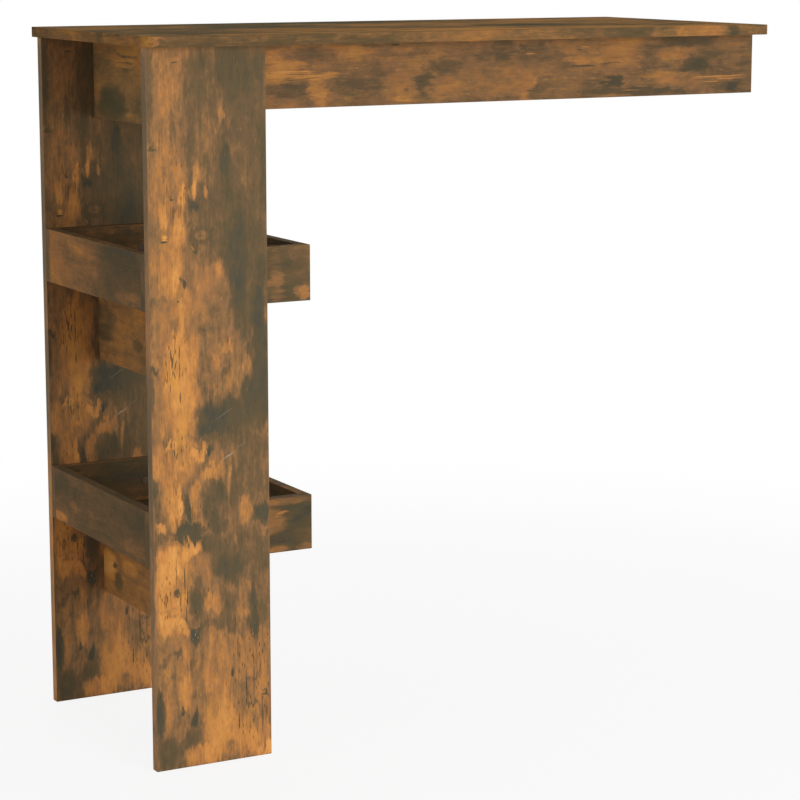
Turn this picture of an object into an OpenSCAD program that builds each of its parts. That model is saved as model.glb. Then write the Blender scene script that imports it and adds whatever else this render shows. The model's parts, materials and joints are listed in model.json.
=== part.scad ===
// Wall-mounted side table in foil-covered chipboard. A long top sits on a frame of two aprons. A tower of
// two upright panels with two open trays carries the left end, and a rail screwed to a wall carries the
// right end. Millimetres. +Z is up, +X points to the wall, and the front is at -Y. The origin is on the
// floor, under the middle of the top.

/* [Top] */
// Length of the top, from the tower end to the wall
top_length = 1020; // [800:10:1400]
// Depth of the top, from its front edge to its back edge
top_depth = 450; // [420:5:600]
// Height of the top's upper face above the floor
table_height = 1035; // [960:5:1150]
// Thickness of every board
board = 15; // [15:0.5:19]

/* [Tower] */
// Width of each upright panel
panel_width = 180; // [165:5:240]
// Distance from a long edge of the top in to the outer face of a panel
panel_inset = 22.5; // [0:2.5:40]
// Height of the cross rail under the top
top_rail_height = 120; // [104:1:160]
// Height of the cross rail under each tray
tray_rail_height = 125; // [104:1:160]

/* [Frame] */
// Height of the aprons and of the wall rail
apron_height = 90; // [86:1:104]
// Diameter of each hole for a wall screw
wall_hole_d = 6; // [4:0.5:8]
// Distance from an end of the wall rail to the nearest wall holes
wall_hole_setback = 72.5; // [60:0.5:80]
// Distance between the upper and the lower row of wall holes
wall_hole_rise = 40; // [30:1:50]

/* [Trays] */
// Length of each tray, from the tower's outer edge towards the wall
tray_length = 255; // [200:5:320]
// Height of the tray walls
tray_height = 80; // [70:1:110]
// Height of the upper tray's underside above the floor
upper_tray_level = 657; // [600:1:700]
// Height of the lower tray's underside above the floor
lower_tray_level = 294; // [220:1:340]

/* [Joint rows] */
// Distance from a rail's upper edge to its first cam bolt
first_row = 28; // [25:0.5:30]
// Distance between rows of bolts and dowels on a rail's end
row_pitch = 32; // [28:1:33]
// Distance between the two cam bolts that tie the top to the top rail, and to the wall rail
cross_bolt_spacing = 100; // [80:5:120]
// Distance between the two dowels that locate a tray on its rail
rest_dowel_spacing = 120; // [80:5:200]
// Distance from a panel's side edges to the dowels in its upper edge
panel_dowel_setback = 30; // [20:1:36]
// Distance from the panel's right edge to the screws that hold an apron to it
apron_screw_setback = 15; // [12:1:18]
// Height of each tray screw above the tray's underside
tray_screw_height = 45; // [35:1:52]
// Distance from the panel's side edges to the tray screws
tray_screw_setback = 32; // [30:1:45]

/* [Cam fittings] */
// Diameter of a cam disc
cam_d = 15; // [12:0.5:15]
// Distance from a joint's face to the middle of the cam disc
cam_setback = 34; // [26:0.5:38]
// How far a cam disc reaches past the middle of its board
cam_reach = 4.5; // [4:0.1:5]
// Diameter of a cam bolt's thread and shank
bolt_d = 6; // [5:0.1:7]
// Length of the thread in the face of the other board
bolt_thread = 11; // [8:0.5:12]
// Diameter of the neck that the cam grips
bolt_neck_d = 3.6; // [3:0.1:4]
// Diameter of the bolt's head inside the cam
bolt_head_d = 6.6; // [5.6:0.1:7]
// Length of the bolt's head
bolt_head_length = 3; // [2:0.1:3.5]

/* [Dowels, screws and caps] */
// Diameter of a dowel
dowel_d = 8; // [6:0.5:9]
// Length of a dowel
dowel_length = 30; // [25:1:35]
// Depth of a dowel in the face of a board
dowel_face_depth = 10; // [8:0.5:12]
// Diameter of a screw's shank
screw_d = 3.5; // [3:0.1:4.5]
// Diameter of a screw's countersunk head
screw_head_d = 7; // [6:0.1:8.5]
// Depth of a screw in the board behind
screw_bite = 10; // [7:0.5:12]
// Diameter of a cap over a tray screw
cap_d = 12; // [9:0.5:14]
// Thickness of a cap over a tray screw
cap_thickness = 1.2; // [0.8:0.1:2]

/* [Clearances] */
// Radial clearance of a bolt, dowel, screw or cam disc in its hole
hole_clearance = 0.1; // [0.05:0.05:0.3]
// Spare depth at the bottom of a blind hole
depth_clearance = 1; // [0.5:0.1:2]
// Clearance around the bolt's head and neck inside the cam disc
cam_play = 0.3; // [0.1:0.1:0.4]

/* [Hidden] */
$fn = 48;

// Colours of the foil on the large faces, on the rails and on the tray boards, and of the fittings
foil = [0.50, 0.36, 0.22];
rail_foil = [0.38, 0.30, 0.20];
tray_foil = [0.43, 0.33, 0.21];
zinc = [0.74, 0.75, 0.76];
beech = [0.80, 0.66, 0.46];
cap_brown = [0.30, 0.21, 0.13];

// Directions
RIGHT = [1, 0, 0];
LEFT = [-1, 0, 0];
DOWN = [0, 0, -1];
FRONT_AND_BACK = [-1, 1];

// Planes that the boards share
left_end = -top_length / 2;
wall_end = top_length / 2;
underside = table_height - board;
gap = top_depth / 2 - panel_inset - board;
panel_right = left_end + panel_width;
rail_x = left_end + panel_width / 2;
rail_right = rail_x + board / 2;
wall_rail_x = wall_end - board / 2;
panel_y = gap + board / 2;
apron_y = gap - board / 2;
inner_gap = gap - board;
tray_right = left_end + tray_length;
floor_length = tray_length - 2 * board;

// Rows of joints, measured down from a rail's upper edge. The aprons' rows lie between the top rail's.
rail_bolt_rows = [first_row, first_row + 2 * row_pitch];
rail_dowel_row = first_row + row_pitch;
apron_bolt_row = first_row + row_pitch / 2;
apron_dowel_rows = [first_row - row_pitch / 2, first_row + 1.5 * row_pitch];
rail_tops = [underside, upper_tray_level, lower_tray_level];

// Where along the free part of an apron its bolts and dowels meet the top, as shares of that part
apron_bolt_shares = [1 / 6, 3 / 6, 5 / 6];
apron_dowel_shares = [2 / 6, 4 / 6];
// Where along a tray floor its bolts and dowels meet the tray's front and back, as shares of the floor
floor_bolt_shares = [1 / 8, 7 / 8];
floor_dowel_shares = [3 / 8, 5 / 8];
// Where across a tray its floor's dowels meet the end walls, as a share of the half width
floor_end_dowel_share = 0.6;
// Places of the corner fittings on a tray: the bolt down from the rim, the dowel up from the underside
corner_bolt_drop = 22;
corner_dowel_rise = board + 13;

cam_depth = board / 2 + cam_reach;
cam_driver_depth = 2;
dowel_edge_depth = dowel_length - dowel_face_depth;
dowel_chamfer = 1.2;
screw_length = board + screw_bite;
screw_head_height = (screw_head_d - screw_d) / 2;
screw_tip = 3;
driver_width = 1.2;
driver_span_share = 0.55;
overcut = 1;

// A joint is [point, way, opening]: way runs from the face of one board into the edge of the other, and
// opening is the side from which the cam is turned.
module at_joint(joint) {
    way = joint[1];
    opening = joint[2];
    across = cross(way, opening);
    multmatrix([
        [opening[0], across[0], way[0], joint[0][0]],
        [opening[1], across[1], way[1], joint[0][1]],
        [opening[2], across[2], way[2], joint[0][2]]
    ]) children();
}

module at_joints(joints) {
    for (joint = joints) at_joint(joint) children();
}

// A direction across the table, towards its middle from the front (-1) or from the back (1)
function inward(side) = [0, -side, 0];

// Joints between the tower's panels and its three cross rails, on one side
function rail_bolts(side) =
    [for (top = rail_tops, row = rail_bolt_rows) [[rail_x, side * gap, top - row], inward(side), RIGHT]];
function rail_dowels(side) =
    [for (top = rail_tops) [[rail_x, side * gap, top - rail_dowel_row], inward(side), RIGHT]];

// Joints between the top rail and the left end of an apron
function apron_bolts(side) =
    [[[rail_right, side * apron_y, underside - apron_bolt_row], RIGHT, inward(side)]];
function apron_dowels_at(side) =
    [for (row = apron_dowel_rows) [[rail_right, side * apron_y, underside - row], RIGHT, inward(side)]];

// Screws from an apron's inner face into the panel
function apron_screws_at(side) =
    [for (row = apron_dowel_rows)
        [[panel_right - apron_screw_setback, side * inner_gap, underside - row], -inward(side), RIGHT]];

// Joints between an apron and the wall rail
function wall_rail_bolts(side) =
    [[[wall_rail_x, side * inner_gap, underside - apron_bolt_row], inward(side), LEFT]];
function wall_rail_dowels(side) =
    [for (row = apron_dowel_rows) [[wall_rail_x, side * inner_gap, underside - row], inward(side), LEFT]];

// Joints under the top: with the aprons, the top rail, the wall rail and the panels
function along_apron(share) = panel_right + share * (wall_end - panel_right);
function top_apron_bolts(side) =
    [for (share = apron_bolt_shares)
        [[along_apron(share), side * apron_y, underside], DOWN, inward(side)]];
function top_apron_dowels(side) =
    [for (share = apron_dowel_shares)
        [[along_apron(share), side * apron_y, underside], DOWN, inward(side)]];
top_rail_bolts =
    [for (side = FRONT_AND_BACK) [[rail_x, side * cross_bolt_spacing / 2, underside], DOWN, RIGHT]];
top_rail_dowels = [[[rail_x, 0, underside], DOWN, RIGHT]];
top_wall_rail_bolts =
    [for (side = FRONT_AND_BACK) [[wall_rail_x, side * cross_bolt_spacing / 2, underside], DOWN, LEFT]];
top_wall_rail_dowels = [[[wall_rail_x, 0, underside], DOWN, LEFT]];
function top_panel_dowels(side) =
    [for (x = [left_end + panel_dowel_setback, panel_right - panel_dowel_setback])
        [[x, side * panel_y, underside], DOWN, RIGHT]];

// Dowels between a tray's floor and the rail under it
function rest_dowels(level) =
    [for (side = FRONT_AND_BACK) [[rail_x, side * rest_dowel_spacing / 2, level], DOWN, RIGHT]];

// Joints inside a tray: at its corners, and between its floor and its four walls
function corner_bolts(level, side) =
    [for (end = [[left_end + board / 2, RIGHT], [tray_right - board / 2, LEFT]])
        [[end[0], side * inner_gap, level + tray_height - corner_bolt_drop], inward(side), end[1]]];
function corner_dowels(level, side) =
    [for (end = [[left_end + board / 2, RIGHT], [tray_right - board / 2, LEFT]])
        [[end[0], side * inner_gap, level + corner_dowel_rise], inward(side), end[1]]];
function along_floor(share) = left_end + board + share * floor_length;
function floor_bolts(level, side) =
    [for (share = floor_bolt_shares)
        [[along_floor(share), side * inner_gap, level + board / 2], inward(side), DOWN]];
function floor_dowels(level, side) =
    [for (share = floor_dowel_shares)
        [[along_floor(share), side * inner_gap, level + board / 2], inward(side), DOWN]];
function floor_end_dowels(level, x, way) =
    [for (side = FRONT_AND_BACK)
        [[x, side * floor_end_dowel_share * inner_gap, level + board / 2], way, DOWN]];
function left_floor_dowels(level) = floor_end_dowels(level, left_end + board, RIGHT);
function right_floor_dowels(level) = floor_end_dowels(level, tray_right - board, LEFT);

// Screws from inside a tray into the panel beside it
function tray_screws_at(level, side) =
    [for (x = [left_end + tray_screw_setback, panel_right - tray_screw_setback])
        [[x, side * inner_gap, level + tray_screw_height], -inward(side), RIGHT]];

function both(front, back) = concat(front, back);

// Fittings, each drawn with the joint's face at z = 0 and its way along +z

module cam_bolt() {
    shank = cam_setback - cam_d / 2 - cam_play;
    translate([0, 0, -bolt_thread]) cylinder(d = bolt_d, h = bolt_thread + shank);
    cylinder(d = bolt_neck_d, h = cam_setback);
    translate([0, 0, cam_setback - bolt_head_length / 2]) cylinder(d = bolt_head_d, h = bolt_head_length);
}

module cam_bolt_holes() {
    translate([0, 0, -bolt_thread - depth_clearance])
        cylinder(d = bolt_d + 2 * hole_clearance, h = bolt_thread + depth_clearance + cam_setback);
    translate([board / 2 - cam_depth - hole_clearance, 0, cam_setback]) rotate([0, 90, 0])
        cylinder(d = cam_d + 2 * hole_clearance, h = cam_depth + hole_clearance + overcut);
}

// The disc is hollow below the driver recess, with a slot in its rim that lets in the bolt's neck.
module cam_disc() {
    chamber_top = bolt_head_d / 2 + cam_play;
    inner_face = board / 2 - cam_depth;
    chamber = bolt_head_length + 2 * cam_play;
    difference() {
        translate([inner_face, 0, cam_setback]) rotate([0, 90, 0]) cylinder(d = cam_d, h = cam_depth);
        translate([inner_face - overcut, -chamber_top, cam_setback - chamber / 2])
            cube([overcut - inner_face + chamber_top, 2 * chamber_top, chamber]);
        translate([inner_face - overcut, -bolt_neck_d / 2 - cam_play, cam_setback - cam_d])
            cube([overcut - inner_face + bolt_neck_d / 2 + cam_play, bolt_neck_d + 2 * cam_play, cam_d]);
        translate([board / 2 - cam_driver_depth, 0, cam_setback]) rotate([0, 90, 0])
            driver_cross(cam_d * driver_span_share, cam_driver_depth + overcut);
    }
}

module driver_cross(span, depth) {
    for (size = [[span, driver_width], [driver_width, span]])
        translate([-size[0] / 2, -size[1] / 2, 0]) cube([size[0], size[1], depth]);
}

module dowel() {
    translate([0, 0, -dowel_face_depth])
        cylinder(d1 = dowel_d - 2 * dowel_chamfer, d2 = dowel_d, h = dowel_chamfer);
    translate([0, 0, dowel_chamfer - dowel_face_depth])
        cylinder(d = dowel_d, h = dowel_length - 2 * dowel_chamfer);
    translate([0, 0, dowel_edge_depth - dowel_chamfer])
        cylinder(d1 = dowel_d, d2 = dowel_d - 2 * dowel_chamfer, h = dowel_chamfer);
}

module dowel_holes() {
    translate([0, 0, -dowel_face_depth - depth_clearance])
        cylinder(d = dowel_d + 2 * hole_clearance, h = dowel_length + 2 * depth_clearance);
}

module wood_screw() {
    difference() {
        union() {
            cylinder(d1 = screw_head_d, d2 = screw_d, h = screw_head_height);
            cylinder(d = screw_d, h = screw_length - screw_tip);
            translate([0, 0, screw_length - screw_tip])
                cylinder(d1 = screw_d, d2 = screw_d / 4, h = screw_tip);
        }
        translate([0, 0, -overcut])
            driver_cross(screw_head_d * driver_span_share, overcut + screw_head_height);
    }
}

module wood_screw_hole() {
    head = screw_head_d + 2 * hole_clearance;
    shank = screw_d + 2 * hole_clearance;
    translate([0, 0, -overcut]) cylinder(d = head, h = overcut);
    cylinder(d1 = head, d2 = shank, h = screw_head_height + hole_clearance);
    cylinder(d = shank, h = screw_length + depth_clearance);
}

module screw_cap() {
    translate([0, 0, -cap_thickness]) cylinder(d1 = cap_d - cap_thickness, d2 = cap_d, h = cap_thickness);
}

// Boards

module box(low, high) {
    translate(low) cube(high - low);
}

module tabletop() {
    color(foil) difference() {
        box([left_end, -top_depth / 2, underside], [wall_end, top_depth / 2, table_height]);
        at_joints(both(top_apron_bolts(-1), top_apron_bolts(1))) cam_bolt_holes();
        at_joints(both(top_rail_bolts, top_wall_rail_bolts)) cam_bolt_holes();
        at_joints(both(top_apron_dowels(-1), top_apron_dowels(1))) dowel_holes();
        at_joints(both(top_panel_dowels(-1), top_panel_dowels(1))) dowel_holes();
        at_joints(both(top_rail_dowels, top_wall_rail_dowels)) dowel_holes();
    }
}

module panel(side) {
    y = side * panel_y;
    color(foil) difference() {
        box([left_end, y - board / 2, 0], [panel_right, y + board / 2, underside]);
        at_joints(rail_bolts(side)) cam_bolt_holes();
        at_joints(rail_dowels(side)) dowel_holes();
        at_joints(top_panel_dowels(side)) dowel_holes();
        at_joints(apron_screws_at(side)) wood_screw_hole();
        at_joints(tray_screws_at(upper_tray_level, side)) wood_screw_hole();
        at_joints(tray_screws_at(lower_tray_level, side)) wood_screw_hole();
    }
}

// A rail across the tower, hung from the level top. Its end joints are those of the panels on both sides.
module cross_rail(top, height) {
    color(rail_foil) difference() {
        box([rail_x - board / 2, -gap, top - height], [rail_right, gap, top]);
        for (side = FRONT_AND_BACK) {
            at_joints(rail_bolts(side)) cam_bolt_holes();
            at_joints(rail_dowels(side)) dowel_holes();
        }
        children();
    }
}

module top_cross_rail() {
    cross_rail(underside, top_rail_height) {
        at_joints(both(apron_bolts(-1), apron_bolts(1))) cam_bolt_holes();
        at_joints(both(apron_dowels_at(-1), apron_dowels_at(1))) dowel_holes();
        at_joints(top_rail_bolts) cam_bolt_holes();
        at_joints(top_rail_dowels) dowel_holes();
    }
}

module middle_cross_rail() {
    cross_rail(upper_tray_level, tray_rail_height) at_joints(rest_dowels(upper_tray_level)) dowel_holes();
}

module lower_cross_rail() {
    cross_rail(lower_tray_level, tray_rail_height) at_joints(rest_dowels(lower_tray_level)) dowel_holes();
}

module apron(side) {
    y = side * apron_y;
    color(foil) difference() {
        box([rail_right, y - board / 2, underside - apron_height], [wall_end, y + board / 2, underside]);
        at_joints(apron_bolts(side)) cam_bolt_holes();
        at_joints(apron_dowels_at(side)) dowel_holes();
        at_joints(apron_screws_at(side)) wood_screw_hole();
        at_joints(wall_rail_bolts(side)) cam_bolt_holes();
        at_joints(wall_rail_dowels(side)) dowel_holes();
        at_joints(top_apron_bolts(side)) cam_bolt_holes();
        at_joints(top_apron_dowels(side)) dowel_holes();
    }
}

module wall_rail() {
    color(rail_foil) difference() {
        box([wall_end - board, -inner_gap, underside - apron_height], [wall_end, inner_gap, underside]);
        at_joints(both(wall_rail_bolts(-1), wall_rail_bolts(1))) cam_bolt_holes();
        at_joints(both(wall_rail_dowels(-1), wall_rail_dowels(1))) dowel_holes();
        at_joints(top_wall_rail_bolts) cam_bolt_holes();
        at_joints(top_wall_rail_dowels) dowel_holes();
        for (side = FRONT_AND_BACK, row = FRONT_AND_BACK)
            translate([
                wall_end - board - overcut,
                side * (inner_gap - wall_hole_setback),
                underside - apron_height / 2 + row * wall_hole_rise / 2
            ]) rotate([0, 90, 0]) cylinder(d = wall_hole_d, h = board + 2 * overcut);
    }
}

// The front or back wall of a tray, which runs the tray's whole length
module tray_side(level, side) {
    y = side * apron_y;
    color(tray_foil) difference() {
        box([left_end, y - board / 2, level], [tray_right, y + board / 2, level + tray_height]);
        at_joints(corner_bolts(level, side)) cam_bolt_holes();
        at_joints(corner_dowels(level, side)) dowel_holes();
        at_joints(floor_bolts(level, side)) cam_bolt_holes();
        at_joints(floor_dowels(level, side)) dowel_holes();
        at_joints(tray_screws_at(level, side)) wood_screw_hole();
    }
}

// An end wall of a tray, between its front and back walls
module tray_end(level, left, floor_joints) {
    color(tray_foil) difference() {
        box([left, -inner_gap, level], [left + board, inner_gap, level + tray_height]);
        at_joints(both(corner_bolts(level, -1), corner_bolts(level, 1))) cam_bolt_holes();
        at_joints(both(corner_dowels(level, -1), corner_dowels(level, 1))) dowel_holes();
        at_joints(floor_joints) dowel_holes();
    }
}

module tray_floor(level) {
    color(tray_foil) difference() {
        box([left_end + board, -inner_gap, level], [tray_right - board, inner_gap, level + board]);
        at_joints(both(floor_bolts(level, -1), floor_bolts(level, 1))) cam_bolt_holes();
        at_joints(both(floor_dowels(level, -1), floor_dowels(level, 1))) dowel_holes();
        at_joints(both(left_floor_dowels(level), right_floor_dowels(level))) dowel_holes();
        at_joints(rest_dowels(level)) dowel_holes();
    }
}

module front_panel() panel(-1);
module back_panel() panel(1);
module front_apron() apron(-1);
module back_apron() apron(1);
module upper_tray_front() tray_side(upper_tray_level, -1);
module upper_tray_back() tray_side(upper_tray_level, 1);
module upper_tray_left_end() tray_end(upper_tray_level, left_end, left_floor_dowels(upper_tray_level));
module upper_tray_right_end()
    tray_end(upper_tray_level, tray_right - board, right_floor_dowels(upper_tray_level));
module upper_tray_floor() tray_floor(upper_tray_level);
module lower_tray_front() tray_side(lower_tray_level, -1);
module lower_tray_back() tray_side(lower_tray_level, 1);
module lower_tray_left_end() tray_end(lower_tray_level, left_end, left_floor_dowels(lower_tray_level));
module lower_tray_right_end()
    tray_end(lower_tray_level, tray_right - board, right_floor_dowels(lower_tray_level));
module lower_tray_floor() tray_floor(lower_tray_level);

// Fittings, grouped by what they join

tower_bolts_at = both(rail_bolts(-1), rail_bolts(1));
tower_dowels_at = concat(
    rail_dowels(-1), rail_dowels(1), rest_dowels(upper_tray_level), rest_dowels(lower_tray_level)
);
frame_bolts_at = concat(apron_bolts(-1), apron_bolts(1), wall_rail_bolts(-1), wall_rail_bolts(1));
frame_dowels_at = concat(
    apron_dowels_at(-1), apron_dowels_at(1), wall_rail_dowels(-1), wall_rail_dowels(1)
);
top_bolts_at = concat(top_apron_bolts(-1), top_apron_bolts(1), top_rail_bolts, top_wall_rail_bolts);
top_dowels_at = concat(
    top_apron_dowels(-1), top_apron_dowels(1), top_panel_dowels(-1), top_panel_dowels(1),
    top_rail_dowels, top_wall_rail_dowels
);
function tray_bolts_at(level) = concat(
    corner_bolts(level, -1), corner_bolts(level, 1), floor_bolts(level, -1), floor_bolts(level, 1)
);
function tray_dowels_at(level) = concat(
    corner_dowels(level, -1), corner_dowels(level, 1), floor_dowels(level, -1), floor_dowels(level, 1),
    left_floor_dowels(level), right_floor_dowels(level)
);
function all_tray_screws_at(level) = both(tray_screws_at(level, -1), tray_screws_at(level, 1));

module cam_bolts(joints) color(zinc) at_joints(joints) cam_bolt();
module cam_discs(joints) color(zinc) at_joints(joints) cam_disc();
module dowels(joints) color(beech) at_joints(joints) dowel();
module wood_screws(joints) color(zinc) at_joints(joints) wood_screw();
module screw_caps(joints) color(cap_brown) at_joints(joints) screw_cap();

module tower_cam_bolts() cam_bolts(tower_bolts_at);
module tower_cam_discs() cam_discs(tower_bolts_at);
module tower_dowels() dowels(tower_dowels_at);
module apron_cam_bolts() cam_bolts(frame_bolts_at);
module apron_cam_discs() cam_discs(frame_bolts_at);
module apron_dowels() dowels(frame_dowels_at);
module apron_screws() wood_screws(both(apron_screws_at(-1), apron_screws_at(1)));
module top_cam_bolts() cam_bolts(top_bolts_at);
module top_cam_discs() cam_discs(top_bolts_at);
module top_dowels() dowels(top_dowels_at);
module upper_tray_cam_bolts() cam_bolts(tray_bolts_at(upper_tray_level));
module upper_tray_cam_discs() cam_discs(tray_bolts_at(upper_tray_level));
module upper_tray_dowels() dowels(tray_dowels_at(upper_tray_level));
module upper_tray_screws() wood_screws(all_tray_screws_at(upper_tray_level));
module upper_tray_screw_caps() screw_caps(all_tray_screws_at(upper_tray_level));
module lower_tray_cam_bolts() cam_bolts(tray_bolts_at(lower_tray_level));
module lower_tray_cam_discs() cam_discs(tray_bolts_at(lower_tray_level));
module lower_tray_dowels() dowels(tray_dowels_at(lower_tray_level));
module lower_tray_screws() wood_screws(all_tray_screws_at(lower_tray_level));
module lower_tray_screw_caps() screw_caps(all_tray_screws_at(lower_tray_level));

tabletop();
front_panel();
back_panel();
top_cross_rail();
middle_cross_rail();
lower_cross_rail();
front_apron();
back_apron();
wall_rail();
upper_tray_front();
upper_tray_back();
upper_tray_left_end();
upper_tray_right_end();
upper_tray_floor();
lower_tray_front();
lower_tray_back();
lower_tray_left_end();
lower_tray_right_end();
lower_tray_floor();
tower_cam_bolts();
tower_cam_discs();
tower_dowels();
apron_cam_bolts();
apron_cam_discs();
apron_dowels();
apron_screws();
top_cam_bolts();
top_cam_discs();
top_dowels();
upper_tray_cam_bolts();
upper_tray_cam_discs();
upper_tray_dowels();
upper_tray_screws();
upper_tray_screw_caps();
lower_tray_cam_bolts();
lower_tray_cam_discs();
lower_tray_dowels();
lower_tray_screws();
lower_tray_screw_caps();
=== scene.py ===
"""Looks of a wall-mounted side table in chipboard covered with printed smoked-oak foil.

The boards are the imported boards, with softened arrises and a material that is built up as the real
board is: a chipboard core, a printed foil on both faces and glued bands on the edges. The strokes
and a board's build-up are given in millimetres.
"""

import json
import math

import bpy
import numpy as np
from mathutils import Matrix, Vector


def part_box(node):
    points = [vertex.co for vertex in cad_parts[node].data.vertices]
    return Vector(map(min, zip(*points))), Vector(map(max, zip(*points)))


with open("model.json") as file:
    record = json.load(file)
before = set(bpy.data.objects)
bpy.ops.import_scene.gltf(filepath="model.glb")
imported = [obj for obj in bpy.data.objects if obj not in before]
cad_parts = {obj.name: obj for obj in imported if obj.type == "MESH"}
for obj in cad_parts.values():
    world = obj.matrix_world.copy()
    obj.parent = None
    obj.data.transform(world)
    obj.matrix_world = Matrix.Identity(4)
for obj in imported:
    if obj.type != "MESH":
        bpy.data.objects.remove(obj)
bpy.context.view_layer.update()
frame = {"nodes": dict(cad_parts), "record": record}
NODES = frame["nodes"]
MM = 0.001

# Colours of the print, from bare wood to the deepest smoke, each with the darkness at which it shows
OAK_TONES = [
    (0.02, "E6A55C"), (0.20, "D2914F"), (0.36, "B67E4A"), (0.50, "97704A"), (0.64, "775F43"),
    (0.78, "65573F"), (0.90, "5B5341"), (1.00, "524E42"),
]
MAUVE_TONE = "A3714F"
AMBER_TONE = "D99A48"
CRACK_TONE = "33271A"
SCRATCH_TONE = "B9AF9A"
BAND_TONE = "A08A70"
RUBBED_TONE = "9A7A55"
CHIP_EDGE_TONE = "5B452C"
CHIPBOARD_TONES = [(0.0, "7C6243"), (0.45, "B79A6C"), (1.0, "D9C39A")]

# Build-up of a board, in millimetres
BAND = 0.4
GLUE_LINE = 0.12
CORE_DEPTH = 0.35
ARRIS = 0.45

# Noises: how many features lie on a metre across the grain and along it, how many octaves, how rough
NOISES = {
    "wander": (13, 2.1, 3, 0.50),
    "shiver": (70, 11, 2, 0.50),
    "clouds": (9, 2.6, 4, 0.55),
    "tears": (120, 30, 3, 0.60),
    "smoky": (16, 5.5, 4, 0.60),
    "bare": (19, 6.5, 4, 0.60),
    "blotches": (42, 20, 5, 0.62),
    "streaks": (105, 8, 4, 0.62),
    "streaked": (14, 5, 2, 0.50),
    "mottling": (150, 62, 5, 0.68),
    "fibres": (430, 22, 4, 0.62),
    "cast": (34, 14, 4, 0.60),
    "hairlines": (85, 4.6, 3, 0.55),
    "broken": (60, 20, 2, 0.50),
    "blotchy_edge": (52, 20, 5, 0.62),
    "fibrous_edge": (250, 46, 3, 0.60),
    "rubbed": (40, 40, 4, 0.60),
}
# Cells: how many lie on a metre across the grain and along it
TICKS = (330, 75)
FLECKS = (240, 60)
# How many chips lie on a metre of the core
CHIPS = 620.0
# Smooth steps: between which values they run, and from what to what if it isn't from 0 to 1
STEPS = {
    "clouds": (0.36, 0.66, -0.30, 0.36),
    "smoky": (0.53, 0.58, 0.0, 0.28),
    "bare": (0.53, 0.58, 0.0, -0.28),
    "streaked": (0.38, 0.62, 0.18, 0.62),
    "clear": (0.92, 0.50, 0.45, 1.0),
    "mauve_cast": (0.52, 0.70),
    "mauve_shade": (0.72, 0.45, 0.0, 0.30),
    "amber_cast": (0.48, 0.30),
    "amber_shade": (0.60, 0.30, 0.0, 0.45),
    "hairline": (0.014, 0.003),
    "broken": (0.47, 0.56),
    "tick": (0.34, 0.16),
    "picked_tick": (0.60, 0.64),
    "fleck": (0.26, 0.12),
    "picked_fleck": (0.80, 0.84),
    "fleck_shade": (0.75, 0.50, 0.06, 0.30),
    "rubbed": (0.45, 0.75),
    "chip_edge": (0.35, 0.75, 0.0, 0.6),
    "arris": (1.6 * MM, 0.2 * MM),
    "pore": (0.30, 0.12, 0.0, 0.35),
    "floor_white": (0.8, 2.0, 0.87, 1.0),
}

# How far the grain wanders and shivers sideways, in metres
WANDER = 0.030
SHIVER = 0.004
# How far an edge is shaken across the grain and along it, in metres
TORN_EDGE = (0.010, 0.040)
BLOTCHY_EDGE = (0.020, 0.060)
FIBROUS_EDGE = (0.004, 0.024)
FIRM_EDGE = (0.004, 0.004)
# Where the noise of the bright patches is read, so that they don't follow the dark ones
BARE_PLACE = (4.3, 8.1, 0.0)
# What the print's layers add to its darkness, and how strongly the marks on it show
BLOTCHES = 0.42
MOTTLING = 0.50
FIBRES = 0.26
CRACK_STRENGTH = 0.72
GLUE_STRENGTH = 0.6
RUBBED_STRENGTH = 0.35
# How much the print's own cracks show where no stroke says it
CRACKLE = 0.25
# Roughness of the print, what two of its layers add to it, and the roughness of the core
PRINT_ROUGHNESS = 0.64
MOTTLING_ROUGHNESS = 0.20
FIBRES_ROUGHNESS = 0.24
CORE_ROUGHNESS = 0.9
# Relief: how much of it the fibres are, how strong it is, and how deep in millimetres
FIBRES_RELIEF = 0.8
BOARD_BUMP = 0.35
BOARD_RELIEF = 0.2
# How strong the clouds are on the other face, on one whose darkness is stated, and on the bands
OTHER_CLOUDS = 0.7
INNER_CLOUDS = 0.4
BAND_CLOUDS = 0.3

# A painted stroke is about half strong at its stated half width and half length, which are this share of
# the way from its middle to where it has faded out
FULL_SHARE = 0.75
# The lean and the soft share of a stroke that doesn't state them
STROKE_ENDING = (0.0, 0.55)

# Where a board's other face, its long bands and its end bands lie on the print's sheet, in metres, and how
# much farther the bands of the far side do. So 5007 in a stroke is the middle of a long band, and 7007 is
# the middle of an end band
OTHER_FACE = 3.0
LONG_BAND = 5.0
END_BAND = 7.0
FAR_SIDE = 0.5


def linear(code):
    """An sRGB colour written as six hex digits, as linear RGBA."""
    srgb = [int(code[i:i + 2], 16) / 255 for i in (0, 2, 4)]
    return tuple(c / 12.92 if c <= 0.04045 else ((c + 0.055) / 1.055) ** 2.4 for c in srgb) + (1.0,)


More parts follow.
